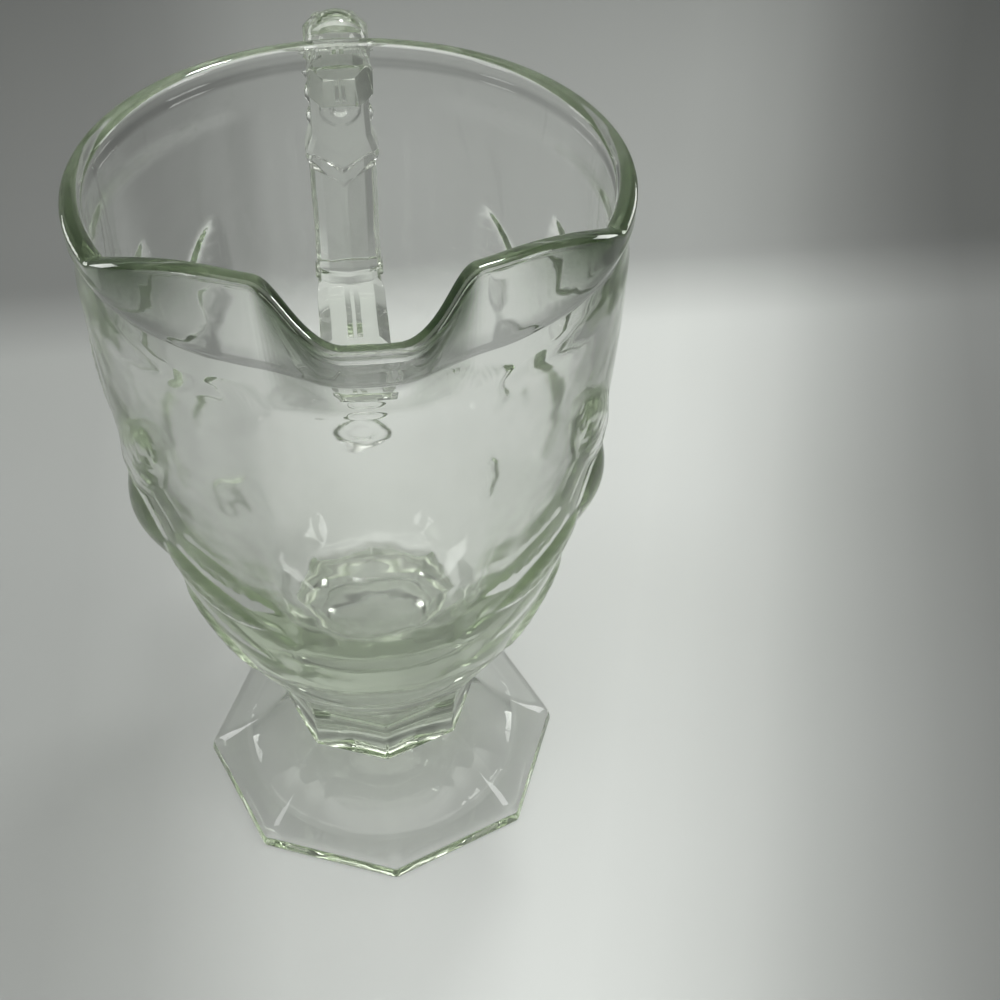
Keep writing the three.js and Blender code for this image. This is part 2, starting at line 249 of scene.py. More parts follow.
# %% [markdown]
# ## Foot
#
# Eight facets slope down from the stem to a low upright edge. Beneath is a shallow hollow, a cap of a sphere,
# so the foot stands on a ring. One profile goes round all of it: over the facets, down the edge, in along the
# table and up into the hollow. The profile's corners are rounded with small arcs, because a sharp edge would
# show no highlight. The ridges between the facets are rounder halfway down than at their ends, so each one
# gathers the light of a lamp into a short bright streak.

# %% Foot
def rounded_path(corners, radii, steps=5):
    """A path through corners, each rounded by an arc: a quadratic curve from radius before to radius after."""
    corners = np.asarray(corners, float)
    path = [corners[:1]]
    for before, here, after, radius in zip(corners[:-2], corners[1:-1], corners[2:], radii):
        back, on = before - here, after - here
        start = here + back / np.hypot(*back) * radius
        stop = here + on / np.hypot(*on) * radius
        t = np.linspace(0, 1, steps)[:, None]
        path.append((1 - t) ** 2 * start + 2 * t * (1 - t) * here + t**2 * stop)
    return np.concatenate([*path, corners[-1:]])


foot_radius = foot_across / 2
facet_share = np.linspace(1, 0, 40)
facet_r = foot_radius - foot_draft - (foot_radius - foot_draft - stem_foot_radius) * facet_share
facet_z = foot_edge + (foot_height - foot_edge) * facet_share**facet_sweep
facet_z[0] = foot_height - join_gap
edge_path = rounded_path(
    [(facet_r[-2], facet_z[-2]), (facet_r[-1], foot_edge), (foot_radius, 0.0), (hollow_radius + 1, 0.0)],
    [0.35, 0.3],
)
ball = (hollow_radius**2 + hollow_depth**2) / (2 * hollow_depth)
cap_turn = np.linspace(math.asin(hollow_radius / ball), 0.02, 24)
cap_r = ball * np.sin(cap_turn)
cap_z = hollow_depth - ball + ball * np.cos(cap_turn)
foot_r = np.concatenate([facet_r[:-2], edge_path[:, 0], cap_r])
foot_z = np.concatenate([facet_z[:-2], edge_path[:, 1], cap_z])
eight_sided = np.concatenate([np.ones(len(facet_r) - 2 + len(edge_path) - 1), np.zeros(len(cap_r) + 1)])
ridge_at, ridge_round = [stem_foot_radius, 24.0, 31.0, foot_radius], [0.9, 4.5, 4.5, 1.2]
foot_corner = np.interp(foot_r, ridge_at, ridge_round)
octagonal = octagon_radius(angles[None, :], foot_r[:, None], foot_corner[:, None])
foot_rings = polar(
    angles[None, :],
    blend(foot_r[:, None], octagonal, eight_sided[:, None]),
    foot_z[:, None],
)
foot = skin("foot", foot_rings)
print("foot:", len(foot.data.polygons), "faces")

# %% [markdown]
# ## Bowl
#
# The bowl's outside and inside are egg curves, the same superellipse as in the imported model. The rim leaves
# its level at the two shoulders and dips at the lip, where the wall also leans out. The relief is laid on the
# outside as a height over the wall: leaves with a midrib and side veins, and two fruits on each flank. Round
# the relief the wall stands out a little from the plain panel under the lip.
#
# All of it is one grid. Its columns go round the axis, and its rows go up the outside, over the rim and down the
# inside, so the wall has its thickness from the start and no modifier is needed.

# %% Shape of the wall
def egg(z, widest, lowest):
    """Radius of the egg curve: widest (1 - s^n)^(1/n), where s is the drop below the rim over the full drop."""
    share = np.clip((rim_z - z) / (rim_z - lowest), 0, 1)
    return widest * (1 - share**fullness) ** (1 / fullness)


def outside_radius(z):
    """The egg curve, and the collar's band laid over it by a smooth step."""
    body = egg(z, rim_radius - collar_proud, seat_z - seat_drop)
    return body + collar_proud * smooth((z - collar_z) / collar_step + 0.5)


def lip_share(degrees):
    """1 at the lip, falling smoothly to 0 at the edge of its channel."""
    return smooth((lip_edge - degrees) / (lip_edge - lip_full))


def rim_rise(degrees):
    """A quarter sine up to the shoulder, less the lip's dip."""
    shoulder = np.clip((shoulder_start - degrees) / (shoulder_start - shoulder_full), 0, 1)
    return shoulder_rise * np.sin(np.pi / 2 * shoulder) - lip_drop * lip_share(degrees)


# %% Relief
leaf_proud, fruit_proud, field_proud = 1.3, 2.6, 0.35
dome = 1.4  # the power of a leaf's and a fruit's rounding: above 1 it runs out softly into the wall
rib_depth, rib_width = 0.2, 1.2
vein_height, vein_pitch, vein_slant = 0.06, 2.6, 0.9
leaves = np.array([
    # angle, drop, length, width, lean
    (62, 35, 27, 14, 35), (88, 31, 22, 13, 0), (113, 33, 26, 14, -25), (138, 37, 25, 13, -20),
    (48, 57, 24, 13, 110), (58, 75, 22, 12, 140), (132, 61, 24, 13, -115), (116, 77, 20, 11, -150),
], float)
fruits = np.array([(101, 55, 19, 21), (73, 52, 18, 20)], float)


def place_on_wall(degrees, z, angle, drop):
    """Distances across and up from a motif's middle, along the wall, in millimetres."""
    middle = rim_z - drop
    return np.radians(degrees - angle) * outside_radius(middle), z - middle


def leaf_height(degrees, z, motif):
    """A leaf: leaf_proud (1 - side^2)^dome (1 - along^4), less a groove along its midrib, which is a bell curve
    of the distance aside, plus side veins, which are a cosine along lines that slant away from the midrib."""
    angle, drop, length, width, lean = motif
    across, up = place_on_wall(degrees, z, angle, drop)
    cos, sin = math.cos(math.radians(lean)), math.sin(math.radians(lean))
    along = (up * cos - across * sin) / (length / 2)
    aside = across * cos + up * sin
    taper = np.maximum(1 - along**2, 0) ** 0.9 * (1 - 0.25 * along)
    side = aside / np.maximum(taper * width / 2, 1e-6)
    within = (np.abs(along) < 1) & (np.abs(side) < 1)
    body = leaf_proud * np.clip(1 - side**2, 0, 1) ** dome * (1 - along**4)
    rib = rib_depth * np.exp(-((aside / rib_width) ** 2)) * (1 - along**2)
    vein_turn = (along * length / 2 - np.abs(aside) * vein_slant) * 2 * np.pi / vein_pitch
    veins = vein_height * np.cos(vein_turn) * (1 - side**2)
    return np.where(within, np.maximum(body - rib + veins, 0), 0)


def fruit_height(degrees, z, motif):
    """A fruit: fruit_proud (1 - away)^dome, where away is 0 in its middle and 1 on its outline, an ellipse."""
    angle, drop, width, height = motif
    across, up = place_on_wall(degrees, z, angle, drop)
    away = (2 * across / width) ** 2 + (2 * up / height) ** 2
    return fruit_proud * np.clip(1 - away, 0, 1) ** dome


def in_field(degrees, z):
    """1 in the field of the relief, which leaves the front and back panels bare, and 0 outside it: the product
    of smooth steps 14 mm to either side of the middle plane, 36 mm above the table and 119 mm above it."""
    aside = np.abs(outside_radius(z) * np.sin(np.radians(degrees)))
    return smooth((aside - 14.0) / 6) * smooth((z - 36) / 8) * smooth((119 - z) / 4)


def relief_height(degrees, z):
    """The highest of all leaves and fruits, over the field."""
    heights = [leaf_height(degrees, z, motif) for motif in leaves]
    heights += [fruit_height(degrees, z, motif) for motif in fruits]
    return np.maximum(np.max(heights, axis=0), field_proud * in_field(degrees, z))


# %% Rows of the bowl
seat_band = 1.6  # height over which the wall turns from the round bowl to the stem's eight sides
outer_drop = rim_z - (seat_z - seat_drop)
low_turn = math.asin(((rim_z - seat_z - seat_band) / outer_drop) ** (fullness / 2))
high_turn = math.asin(((collar_height + 1.2) / outer_drop) ** (fullness / 2))
turns = np.linspace(low_turn, high_turn, 138)
z_wall = rim_z - outer_drop * np.sin(turns) ** (2 / fullness)
z_seat = seat_z + join_gap + seat_band * np.linspace(0, 1, 7)[:-1]
z_step, z_band = np.linspace(collar_z - 1.0, collar_z + 1.0, 9), np.linspace(collar_z + 1.3, edge_z, 6)
z_collar = np.concatenate([z_step, z_band])
z_outer = np.concatenate([z_seat, z_wall, z_collar])
bend = np.radians(np.linspace(0, 90, 7)[1:])
rim_r = np.concatenate([
    rim_radius - rim_round + rim_round * np.cos(bend),
    (rim_radius - rim_wall + rim_round - rim_round * np.cos(bend))[::-1],
    [rim_radius - rim_wall],
])
rim_arc_z = edge_z + rim_round * np.sin(bend)
rim_rows_z = np.concatenate([rim_arc_z, rim_arc_z[::-1], [edge_z]])
inner_turns = np.linspace(0.055, 0.995, 84) * math.pi / 2
z_inner = rim_z - (rim_z - floor_z) * np.sin(inner_turns) ** (2 / fullness)
z_rows = np.concatenate([z_outer, rim_rows_z, z_inner])[:, None]
r_rows = np.concatenate([outside_radius(z_outer), rim_r, egg(z_inner, rim_radius - rim_wall, floor_z)])[:, None]
is_outer = (np.arange(len(z_rows)) < len(z_outer))[:, None]
print("rows outside, over the rim and inside:", len(z_outer), len(rim_r), len(z_inner))

# %% Bowl
even = (np.arange(len(angles)) + 0.5) * 2 * np.pi / len(angles) + angles[0] - np.pi / len(angles)
near_seat = np.where(is_outer, 1 - smooth((z_rows - seat_z) / 6), 0.0)
turn_rows = blend(even[None, :], angles[None, :], near_seat)
degrees = np.abs(np.degrees((turn_rows + np.pi) % (2 * np.pi) - np.pi))
radius = np.broadcast_to(r_rows, degrees.shape).copy()
seat_outline = octagon_radius(turn_rows, stem_top_radius, 0.8)
eight_share = np.where(is_outer, 1 - smooth((z_rows - seat_z - join_gap) / seat_band), 0.0)
radius = blend(radius, seat_outline, eight_share)
rise = rim_rise(degrees)
lifted = z_rows + rise * np.clip((z_rows - collar_z) / (edge_z - collar_z), 0, 1)
throat_z = rim_z - throat_depth
flare = np.clip((lifted - throat_z) / (edge_z + rise - throat_z), 0, 1) ** 2
relief = np.where(is_outer, relief_height(degrees, np.broadcast_to(z_rows, degrees.shape)), 0.0)
relief = np.minimum(relief * smooth((collar_z - 1.2 - z_rows) / 2), rim_radius - r_rows)
radius = radius + lip_reach * lip_share(degrees) * flare + relief
bowl = skin("bowl", polar(turn_rows, radius, lifted))
print("bowl:", len(bowl.data.polygons), "faces")

# %% [markdown]
# ## Handle
#
# The handle is a rectangular bar with its long edges cut back, bent twice. Seen from the side it has an inner
# line and an outer line. At each station a section spans from one to the other, so two rails are all that is
# needed to turn a corner. Each section is a convex polygon given by its sides' directions and their distances
# from its middle, with a small radius at every corner.

# %% Sections and rails
def rounded_polygon(normals, distances, edge, arc_steps=4, side_steps=12):
    """Ring of a convex polygon. normals are its sides' directions in degrees, in order. Each corner is where
    two neighbouring sides, moved in by edge, cross; an arc of that radius goes round it, and even steps join
    the end of each arc to the start of the next."""
    turn = np.radians(np.asarray(normals, float))
    inner = np.asarray(distances, float) - edge
    after, inner_after = np.roll(turn, -1), np.roll(inner, -1)
    after = np.where(after < turn, after + 2 * np.pi, after)
    cross = np.sin(after - turn)
    x = (inner * np.sin(after) - inner_after * np.sin(turn)) / cross
    y = (inner_after * np.cos(turn) - inner * np.cos(after)) / cross
    arc = blend(turn[:, None], after[:, None], np.linspace(0, 1, arc_steps)[None, :])
    arcs = np.stack([x[:, None] + edge * np.cos(arc), y[:, None] + edge * np.sin(arc)], -1)
    stops, starts = arcs[:, -1], np.roll(arcs[:, 0], -1, axis=0)
    steps = np.linspace(0, 1, side_steps + 1)[1:-1][None, :, None]
    sides_between = blend(stops[:, None, :], starts[:, None, :], steps)
    return np.concatenate([arcs, sides_between], axis=1).reshape(-1, 2)


def bar_section(width, depth, outer_cut=grip_chamfer, inner_cut=grip_chamfer, ridge=0.02, edge=0.45):
    """Ring of the handle's bar: a rectangle with its corners cut, whose broad faces rise by ridge. A cut's side
    goes through its two ends on the side and on the broad face, which gives its direction and distance."""
    normals, distances = [], []
    for start, cut in ((0, outer_cut), (180, inner_cut)):
        flat = width / 2 - cut
        slope, turn = math.atan2(ridge, flat), math.atan2(cut, cut - ridge)
        reach = flat * math.cos(turn) + (depth / 2 - ridge) * math.sin(turn)
        face = depth / 2 * math.cos(slope)
        quarter = [0, math.degrees(turn), 90 - math.degrees(slope)]
        normals += [start + angle for angle in quarter + [180 - angle for angle in quarter[:0:-1]]]
        distances += [width / 2, reach, face, face, reach]
    return rounded_polygon(normals, distances, edge)


def bar_rings(inner, outer, widths, ridges, outer_cuts):
    """Rings along two rails in the Y and Z plane. A section's first axis lies along X, and its second goes
    from the inner rail to the outer one."""
    rings = []
    inner, outer = np.asarray(inner, float), np.asarray(outer, float)
    for a, b, width, ridge, cut in zip(inner, outer, widths, ridges, outer_cuts):
        span = np.hypot(*(b - a))
        ring = bar_section(width, span, outer_cut=cut, ridge=ridge)
        yz = (a + b) / 2 + ring[:, 1:2] * (b - a) / span
        rings.append(np.column_stack([ring[:, 0], yz]))
    return np.array(rings)


def beaded(rings, y, z, reach, radius=2.2):
    """Rings with a bead on each side: a ball whose middle is reach less radius from the middle plane. Where the
    ball, sqrt(radius^2 - away^2) from its middle, stands out of a side face, x moves out to it."""
    x = np.abs(rings[..., 0])
    away = (rings[..., 1] - y) ** 2 + (rings[..., 2] - z) ** 2
    ball = reach - radius + np.sqrt(np.maximum(radius**2 - away, 0))
    side_face = smooth((x / x.max(axis=1, keepdims=True) - 0.72) / 0.2) * (away < radius**2)
    out = rings.copy()
    out[..., 0] = np.sign(rings[..., 0]) * (x + np.maximum(ball - x, 0) * side_face)
    return out


def lathe_x(profile, y, z, columns=72):
    """Rings round an axis along X. profile has x and radius; the axis passes through y and z."""
    turn = np.linspace(0, 2 * np.pi, columns, endpoint=False)[None, :]
    x, r = np.asarray(profile, float).T
    x, r, turn = np.broadcast_arrays(x[:, None], r[:, None], turn)
    return np.stack([x, y + r * np.cos(turn), z + r * np.sin(turn)], -1)


# %% [markdown]
# ## The two arms
#
# Each arm leaves its seat on the bowl, runs level and turns into the grip. Its inner rail stops at the inner
# corner, so the sections swing round that corner while the outer rail follows its arc. The lower arm is almost
# sharp along its two lower edges. The upper arm carries the thumb rest, a round knob that stands half out of it
# and is joined to it by a boolean.

# %% Arms
upper_seat_y = rim_radius + 2.0
lower_seat_y = float(outside_radius(np.array(grip_bottom))) + 2.0
corner_y = grip_outer - corner_round
bent = np.linspace(0, np.pi / 2, 16)[1:]
bead_y = (grip_inner + grip_outer) / 2


def arm_rings(seat_y, inside_z, outside_z, seat_width, end_width, outer_cut):
    """Rings from the seat to the grip. The outer rail is level, then a quarter circle, then upright."""
    up = math.copysign(1.0, inside_z - outside_z)
    level = np.linspace(seat_y + join_gap, corner_y, 10)
    upright = np.linspace(outside_z + up * corner_round, inside_z - up * join_gap, 6)[1:]
    outer_y = np.concatenate([level, corner_y + corner_round * np.sin(bent), np.full(5, grip_outer)])
    arc_z = outside_z + up * corner_round * (1 - np.cos(bent))
    outer_z = np.concatenate([np.full(10, outside_z), arc_z, upright])
    turned = smooth((np.arange(len(outer_y)) - 9) / (len(outer_y) - 10))
    inner_y = np.minimum(outer_y, grip_inner)
    inner_z = np.full(len(outer_y), float(inside_z))
    inner_z[-1] -= up * join_gap
    inner_y[10:] = grip_inner
    return bar_rings(
        np.column_stack([inner_y, inner_z]),
        np.column_stack([outer_y, outer_z]),
        blend(seat_width, end_width, turned),
        blend(0.02, grip_ridge, turned),
        blend(outer_cut, grip_chamfer, turned),
    )


upper_arm = skin(
    "handle_upper_arm", arm_rings(upper_seat_y, grip_top, arm_top, upper_width, upper_width, grip_chamfer)
)
knob_radius, knob_y, knob_z = 5.1, 47.5, 122.4
knob_turn = np.linspace(-0.985, 0.985, 49) * np.pi / 2
knob_profile = knob_radius * np.column_stack([np.sin(knob_turn), np.cos(knob_turn)])
joined(upper_arm, [skin("thumb_knob", lathe_x(knob_profile, knob_y, knob_z))])
lower_arm = skin(
    "handle_lower_arm", arm_rings(lower_seat_y, grip_bottom, arm_bottom, lower_width, grip_width, lower_edge)
)
print("arms:", len(upper_arm.data.polygons), "and", len(lower_arm.data.polygons), "faces")

# %% [markdown]
# ## Grip
#
# The grip is the same bar, upright. Its top is an ornamental block, the knuckle: it ends below in a V, has a
# waist and three beads on each side, and carries a round boss with a dimple on the face towards the bowl. The
# block is a second bar, and each point lies on the one or the other by a smooth step across the V's line. A low
# collar goes round the grip where it stands on the lower arm.

# %% Grip
knuckle_corner, knuckle_point, knuckle_half, knuckle_proud = 98.0, 6.2, 6.8, 0.5
beads = [(113.0, 6.5), (108.6, 6.1), (104.4, 6.1)]  # height of each pair, and its reach from the middle plane
collar_top, collar_soft, collar_wide, collar_deep = 72.7, 0.6, 0.08, 0.12
ring_boss_z, ring_boss_radius, ring_dimple_radius = 108.2, 3.9, 1.9
grip_z = np.linspace(grip_top - join_gap, grip_bottom + join_gap, 170)
rail = np.column_stack([np.full_like(grip_z, grip_inner), grip_z])
plain = bar_rings(
    rail,
    rail + (grip_outer - grip_inner, 0),
    np.interp(grip_z, [knuckle_corner, grip_top - 1], [grip_width, upper_width]),
    np.full_like(grip_z, grip_ridge),
    np.full_like(grip_z, grip_chamfer),
)
half_widths = np.interp(grip_z, [knuckle_corner, 102.3, 106.4, grip_top], [knuckle_half, 5.3, 5.2, 5.4])
blocky = np.array([
    np.column_stack([ring[:, 0], bead_y + ring[:, 1], np.full(len(ring), z)])
    for half, z in zip(half_widths, grip_z)
    for ring in [bar_section(2 * half, grip_outer - grip_inner + 2 * knuckle_proud, 1.0, 1.0, edge=0.35)]
])
v_line = knuckle_corner - knuckle_point * (1 - np.minimum(np.abs(plain[..., 0]) / knuckle_half, 1))
in_block = smooth((grip_z[:, None] - v_line) / 0.7) * smooth((grip_top - join_gap - grip_z[:, None]) / 0.9)
grip_rings = blend(plain, blocky, in_block[..., None])
above_arm = grip_z - grip_bottom - join_gap
in_collar = (smooth((collar_top - grip_z) / collar_soft) * smooth(above_arm / collar_soft))[:, None]
grip_rings[..., 0] *= 1 + collar_wide * in_collar
grip_rings[..., 1] += collar_deep * (grip_rings[..., 1] - bead_y) * in_collar
for bead_z, bead_reach in beads:
    grip_rings = beaded(grip_rings, bead_y, bead_z, bead_reach)
boss_away = np.hypot(grip_rings[..., 0], grip_rings[..., 2] - ring_boss_z)
boss = 0.8 * smooth((ring_boss_radius - boss_away) / 0.6) - 0.9 * smooth((ring_dimple_radius - boss_away) / 0.9)
below_top = smooth((grip_top - join_gap - grip_z[:, None]) / 0.6)
grip_rings[..., 1] -= boss * (grip_rings[..., 1] < bead_y) * below_top
grip = skin("handle_grip", grip_rings)
print("grip:", len(grip.data.polygons), "faces")

# %% [markdown]
# ## Seats and boss on the bowl
#
# The handle meets the bowl on two flat seats, and a small round boss with a dimple sits on the wall under the
# lower one, square to the wall. They are short bars and a stub that start inside the wall, joined to it by
# booleans. The lower bar spreads towards the wall, as glass does where a thick part runs into a thin one.

# %% Seats and boss
def seat_rings(wall_inner, wall_outer, seat_y, inside_z, outside_z, root, width, outer_cut):
    """Rings of a short bar from the middle of the wall out to the seat's flat face. Its width goes from root to
    width with the power 1.5 of the way, so that most of the change is near the seat."""
    way = np.linspace(0, 1, 5)
    share = way[:, None]
    inner = blend(np.array([wall_inner, inside_z]), np.array([seat_y - join_gap, inside_z]), share)
    outer = blend(np.array([wall_outer, outside_z]), np.array([seat_y - join_gap, outside_z]), share)
    return bar_rings(inner, outer, blend(root, width, way**1.5), np.full(5, 0.02), np.full(5, outer_cut))


upper_start, lower_start_inner, lower_start_outer = 38.0, 33.0, 30.0  # Y in the middle of the wall
upper_seat = skin("upper_seat", seat_rings(
    upper_start, upper_start, upper_seat_y, grip_top, arm_top, upper_width, upper_width, grip_chamfer
))
lower_seat = skin("lower_seat", seat_rings(
    lower_start_inner, lower_start_outer, lower_seat_y, grip_bottom, arm_bottom, root_width, lower_width,
    lower_edge,
))
boss_z = 54.2
boss_y = float(outside_radius(np.array(boss_z)))
tilt = math.atan(float(np.diff(outside_radius(np.array([boss_z - 0.5, boss_z + 0.5])))[0]))  # the wall's slope
boss_corners = [(-1.6, 0), (-1.6, 5.8), (1.6, 5.0), (1.6, 3.6), (0.9, 2.2), (0.9, 0)]
boss_profile = rounded_path(boss_corners, [0.2, 0.7, 0.5, 0.8])
boss_rings = lathe_x(boss_profile[1:-1], 0.0, 0.0)
out, across, up = np.moveaxis(boss_rings, -1, 0)
boss_y_rings = boss_y + out * math.cos(tilt) + up * math.sin(tilt)
boss_z_rings = boss_z - out * math.sin(tilt) + up * math.cos(tilt)
tail_boss = skin("tail_boss", np.stack([across, boss_y_rings, boss_z_rings], -1))
joined(bowl, [upper_seat, lower_seat, tail_boss])
print("bowl with its seats:", len(bowl.data.polygons), "faces")

# %% [markdown]
# ## Pressed glass
#
# Soda-lime glass is clear, and a trace of iron makes it faintly green where the eye looks through much of it:
# along the rim, at the bowl's floor and at the foot's edge. Light that enters it bends, with an index of 1.52,
# and hardly scatters. It is pressed hot and then fire-polished, so it is smooth but not quite even: the iron
# mould leaves a faint chill ripple some millimetres across. The relief and the ground round it come out of the
# mould a little rougher, as if stippled, which gives the eye milky flanks beside clear panels.
#
# The Principled shader with its transmission at 1 does the bending, and an absorbing volume gives the green that
# grows with depth. The photograph's rim is deeper in tone where it slopes down to the lip, so the rim is
# tinted there through an attribute of its points. A second attribute says how rough each point of the bowl is,
# and a low bump gives the ripple.

# %% Materials
def linear(hex_colour):
    """A linear colour from sRGB hex: c / 12.92 below 0.04045, ((c + 0.055) / 1.055)^2.4 above."""
    values = [int(hex_colour[i : i + 2], 16) / 255 for i in (0, 2, 4)]
    return [v / 12.92 if v <= 0.04045 else ((v + 0.055) / 1.055) ** 2.4 for v in values] + [1.0]


def node(tree, kind, inputs, stops=(), **properties):
    """A new node. inputs has a value or another node's output for each socket, by its name or number. stops
    are a colour ramp's pairs of place and linear colour."""
    made = tree.nodes.new(kind)
    for name, value in properties.items():
        setattr(made, name, value)
    for _ in stops[2:]:
        made.color_ramp.elements.new(0.5)
    for step, (position, colour) in enumerate(stops):
        made.color_ramp.elements[step].position = position
        made.color_ramp.elements[step].color = colour
    for socket, value in inputs.items():
        if isinstance(value, bpy.types.NodeSocket):
            tree.links.new(value, made.inputs[socket])
        else:
            made.inputs[socket].default_value = value
    return made


def new_material(name):
    """An empty node material and its tree."""
    material = bpy.data.materials.new(name)
    material.use_nodes = True
    material.node_tree.nodes.clear()
    return material, material.node_tree


pressed_glass, tree = new_material("pressed_soda_lime_glass")
place = node(tree, "ShaderNodeTexCoord", {})
ripple_size, ripple_height = 0.011, 0.00012  # metres across and high: the chill ripple of an iron mould
ripple = node(tree, "ShaderNodeTexNoise", {
    "Vector": place.outputs["Object"], "Scale": 1 / ripple_size, "Detail": 2.0,
})
bump = node(tree, "ShaderNodeBump", {"Height": ripple.outputs[0], "Strength": 1.0, "Distance": ripple_height})
depth = node(tree, "ShaderNodeAttribute", {}, attribute_name="rim_depth")
tint_stops = [(0.0, linear("ffffff")), (1.0, linear("5d6e54"))]
tint = node(tree, "ShaderNodeValToRGB", {0: depth.outputs["Fac"]}, stops=tint_stops)
polished, rough = 0.015, 0.1  # fire-polished glass, and the stippled field of the relief
stippled = node(tree, "ShaderNodeAttribute", {}, attribute_name="stippled")
roughness = node(tree, "ShaderNodeMapRange", {0: stippled.outputs["Fac"], 3: polished, 4: rough})
glass = node(tree, "ShaderNodeBsdfPrincipled", {
    "Base Color": tint.outputs[0], "Normal": bump.outputs[0], "Transmission Weight": 1.0,
    "Roughness": roughness.outputs[0], "IOR": 1.52,
})
joint = node(tree, "ShaderNodeAttribute", {}, attribute_name="inside_join")
nothing = node(tree, "ShaderNodeBsdfTransparent", {})
sockets = {0: joint.outputs["Fac"], 1: glass.outputs[0], 2: nothing.outputs[0]}
either = node(tree, "ShaderNodeMixShader", sockets)
iron = node(tree, "ShaderNodeVolumeAbsorption", {"Color": (0.2, 0.36, 0.04, 1), "Density": 10.0})
node(tree, "ShaderNodeOutputMaterial", {"Surface": either.outputs[0], "Volume": iron.outputs[0]})
print("glass index", glass.inputs["IOR"].default_value)

# %% [markdown]
# ## Dress the pieces
#
# Each piece gets the glass, and the facts that the glass reads from it. Faces that lie in a join are marked,
# so that they let light straight through. On the bowl, each point says how deep the rim's tone is there and how
# stippled its surface is. Then each piece is hung on the imported model's root body and named after the solid
# that it stands for, and that solid is hidden.

# %% Facts for the glass
close_to, square_to = 0.002, 0.999  # millimetres from a join's plane, and cosine of the turn away from it
steepest = 0.28  # fall of the rim in millimetres per degree, beside the lip
outside_stipple = 0.4  # the outside of the clear panels is not as smooth as the inside


def mark_joins(piece, planes):
    """Marks faces that lie in one of the planes, each an axis number and a place in millimetres."""
    mesh = piece.data
    count = len(mesh.polygons)
    centres, normals = np.empty(count * 3), np.empty(count * 3)
    mesh.polygons.foreach_get("center", centres)
    mesh.polygons.foreach_get("normal", normals)
    centres, normals = centres.reshape(-1, 3) * 1000 - (0, axis_y, 0), normals.reshape(-1, 3)
    inside = np.zeros(count, bool)
    for axis, value in planes:
        inside |= (np.abs(centres[:, axis] - value) < close_to) & (np.abs(normals[:, axis]) > square_to)
    mesh.attributes.new("inside_join", "FLOAT", "FACE").data.foreach_set("value", inside.astype(np.float32))
    return int(inside.sum())


def rim_depth(degrees, r, z):
    """How deep the rim's tone is: a tenth on the level rim and 1 where it slopes into the lip, and less with the
    drop below it, as exp(-(drop / reach)^2), where reach goes from 4.6 mm to 9 mm with the slope."""
    drop = np.maximum(rim_z + rim_rise(degrees) - z, 0)
    slope = np.abs(rim_rise(degrees + 1.5) - rim_rise(degrees - 1.5)) / 3
    on_rim = (r > rim_radius - rim_wall - 1.5) & (z > rim_z - 12)
    steep = np.clip(slope / steepest, 0, 1)
    return on_rim * np.exp(-((drop / blend(4.6, 9.0, steep)) ** 2)) * (0.1 + 0.9 * steep)


points = np.empty(len(bowl.data.vertices) * 3)
bowl.data.vertices.foreach_get("co", points)
x, y, z = (points.reshape(-1, 3) * 1000 - (0, axis_y, 0)).T
degrees, r = np.abs(np.degrees(np.arctan2(x, -y))), np.hypot(x, y)
on_outside = (r > outside_radius(z) - 1.2) * smooth((118 - z) / 6)
stipple = blend(outside_stipple, 1.0, in_field(degrees, z)) * on_outside
for layer, values in (("rim_depth", rim_depth(degrees, r, z)), ("stippled", stipple)):
    bowl.data.attributes.new(layer, "FLOAT", "POINT").data.foreach_set("value", values.astype(np.float32))
    print(layer, "from", round(float(values.min()), 3), "to", round(float(values.max()), 3))

# %% Dress the pieces
joins = {
    "bowl": [(2, seat_z + join_gap), (1, upper_seat_y - join_gap), (1, lower_seat_y - join_gap)],
    "stem": [(2, seat_z - join_gap), (2, foot_height + join_gap)],
    "foot": [(2, foot_height - join_gap)],
    "handle_upper_arm": [(1, upper_seat_y + join_gap), (2, grip_top + join_gap)],
    "handle_lower_arm": [(1, lower_seat_y + join_gap), (2, grip_bottom - join_gap)],
    "handle_grip": [(2, grip_top - join_gap), (2, grip_bottom + join_gap)],
}
sharp_from = math.radians(38)
pieces = [bowl, stem, foot, upper_arm, lower_arm, grip]
for piece, (node_name, planes) in zip(pieces, joins.items()):
    piece.data.materials.clear()
    piece.data.materials.append(pressed_glass)
    found = mark_joins(piece, planes)
    piece.data.shade_smooth()
    piece.data.set_sharp_from_angle(angle=sharp_from)
    piece.name = node_name + "_glass"
    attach(piece, "root")
    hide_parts(node_name)
    print(piece.name, "faces inside joins:", found)

# %% [markdown]
# ## Cloth sweep
#
# The jug stands on a pale cotton cloth that rises behind it, so there is no hard line at the back. The sweep is
# a profile in the Y and Z plane, extruded along X: level, then a quarter circle, then upright. It shows from its
# front only, so that a camera behind it still sees the jug. The cloth lies a fifth of a millimetre under the
# foot, as the nap of a cloth does: with that little air beneath it, the foot's flat ring is a mirror from
# inside, and its edge shows as a line.

# %% Cloth sweep
sweep_y, sweep_bend, nap, far_away, sweep_half = 165.0, 60.0, 0.2, 900.0, 1500.0
turn = np.linspace(0, np.pi / 2, 24)
sweep_profile = np.concatenate([
    [(-far_away, -nap)],
    np.column_stack([sweep_y + sweep_bend * np.sin(turn), sweep_bend * (1 - np.cos(turn)) - nap]),
    [(sweep_y + sweep_bend, far_away)],
])
across = np.array([-sweep_half, sweep_half])
grid = np.array([[(x, y, z) for x in across] for y, z in sweep_profile])
sweep_mesh = bpy.data.meshes.new("cloth_sweep")
first = np.arange(len(sweep_profile) - 1) * 2
sweep_faces = np.column_stack([first, first + 1, first + 3, first + 2])
sweep_mesh.from_pydata(grid.reshape(-1, 3) / 1000, [], sweep_faces.tolist())
sweep_mesh.shade_smooth()
sweep = bpy.data.objects.new("cloth_sweep", sweep_mesh)
bpy.context.scene.collection.objects.link(sweep)
